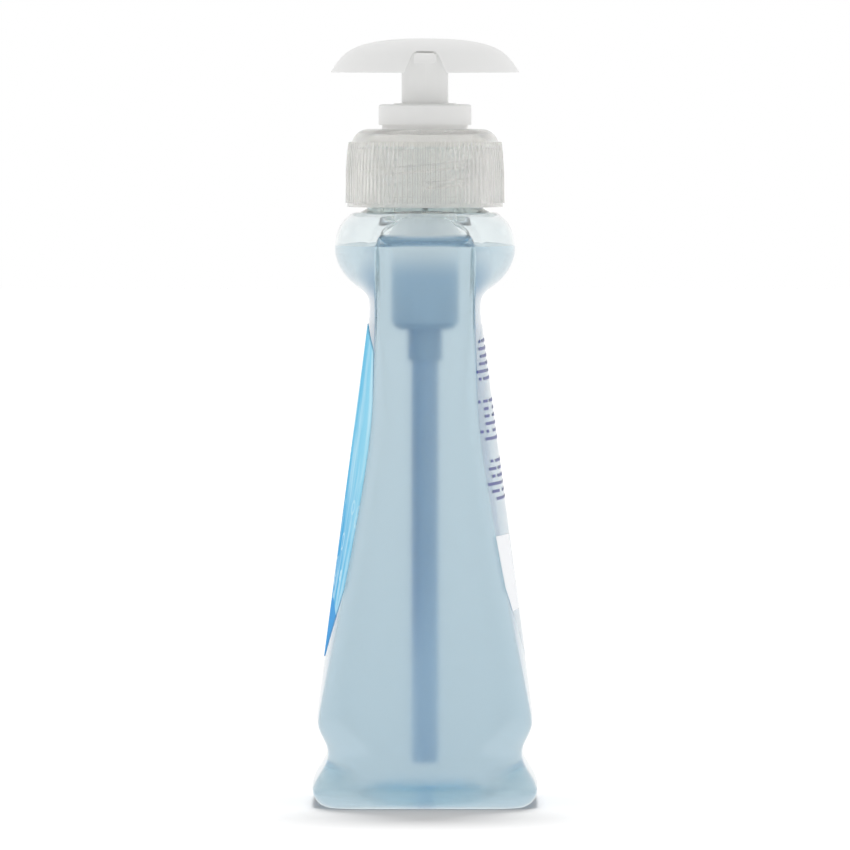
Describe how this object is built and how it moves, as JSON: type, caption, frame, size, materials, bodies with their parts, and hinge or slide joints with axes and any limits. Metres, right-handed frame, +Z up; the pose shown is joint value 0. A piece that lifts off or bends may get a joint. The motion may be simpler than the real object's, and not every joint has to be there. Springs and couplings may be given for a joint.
{
  "type": "hand soap pump bottle",
  "caption": "Clear waisted bottle of pale blue hand soap with film labels, a ribbed screw closure and a domed push pump.",
  "frame": {"origin": "middle of the base, on the surface that the bottle stands on", "axes": "+Z up along the pump, front label faces -Y, the nozzle points along +X at rest"},
  "size_m": [0.0748, 0.0576, 0.1951],
  "materials": {
    "clear_pet": "clear glossy",
    "soap_liquid": "clear liquid",
    "label_front_film": "printed glossy film",
    "label_back_film": "clear glossy film",
    "natural_polypropylene": "translucent satin",
    "foam_liner": "matte foam",
    "housing_polypropylene": "satin",
    "tube_polyethylene": "satin",
    "steel": "bright drawn steel",
    "white_polypropylene": "semi-gloss white"
  },
  "bodies": {
    "bottle": {"bottle": "clear_pet", "soap": "soap_liquid", "front_label": "label_front_film", "back_label": "label_back_film"},
    "pump_body": {"neck_gasket": "foam_liner", "pump_housing": "housing_polypropylene", "dip_tube": "tube_polyethylene", "inlet_ball": "steel", "spring_seat": "housing_polypropylene", "return_spring": "steel", "lock_collar": "white_polypropylene"},
    "closure": {"closure": "natural_polypropylene"},
    "plunger": {"piston": "tube_polyethylene"},
    "head": {"stem": "white_polypropylene", "outlet_ball": "steel", "pump_head": "white_polypropylene"}
  },
  "joints": [
    {"name": "pump_lift", "type": "slide", "parent": "bottle", "child": "pump_body", "axis": [0, 0, 1], "range_m": [0, 0.0055]},
    {"name": "closure_turn", "type": "hinge", "parent": "pump_body", "child": "closure", "pos_m": [0, 0, 0.16], "axis": [0, 0, 1], "range_deg": [0, 220]},
    {"name": "pump_stroke", "type": "slide", "parent": "pump_body", "child": "plunger", "axis": [0, 0, -1], "range_m": [0, 0.0072], "stiffness_N_per_m": 500, "springref_m": -0.008, "deforming": ["return_spring"]},
    {"name": "head_turn", "type": "hinge", "parent": "plunger", "child": "head", "pos_m": [0, 0, 0.18], "axis": [0, 0, 1], "continuous": true}
  ],
  "couplings": [
    {"joint": "pump_lift", "follows": "closure_turn", "m_per_rad": 0.0014006}
  ]
}
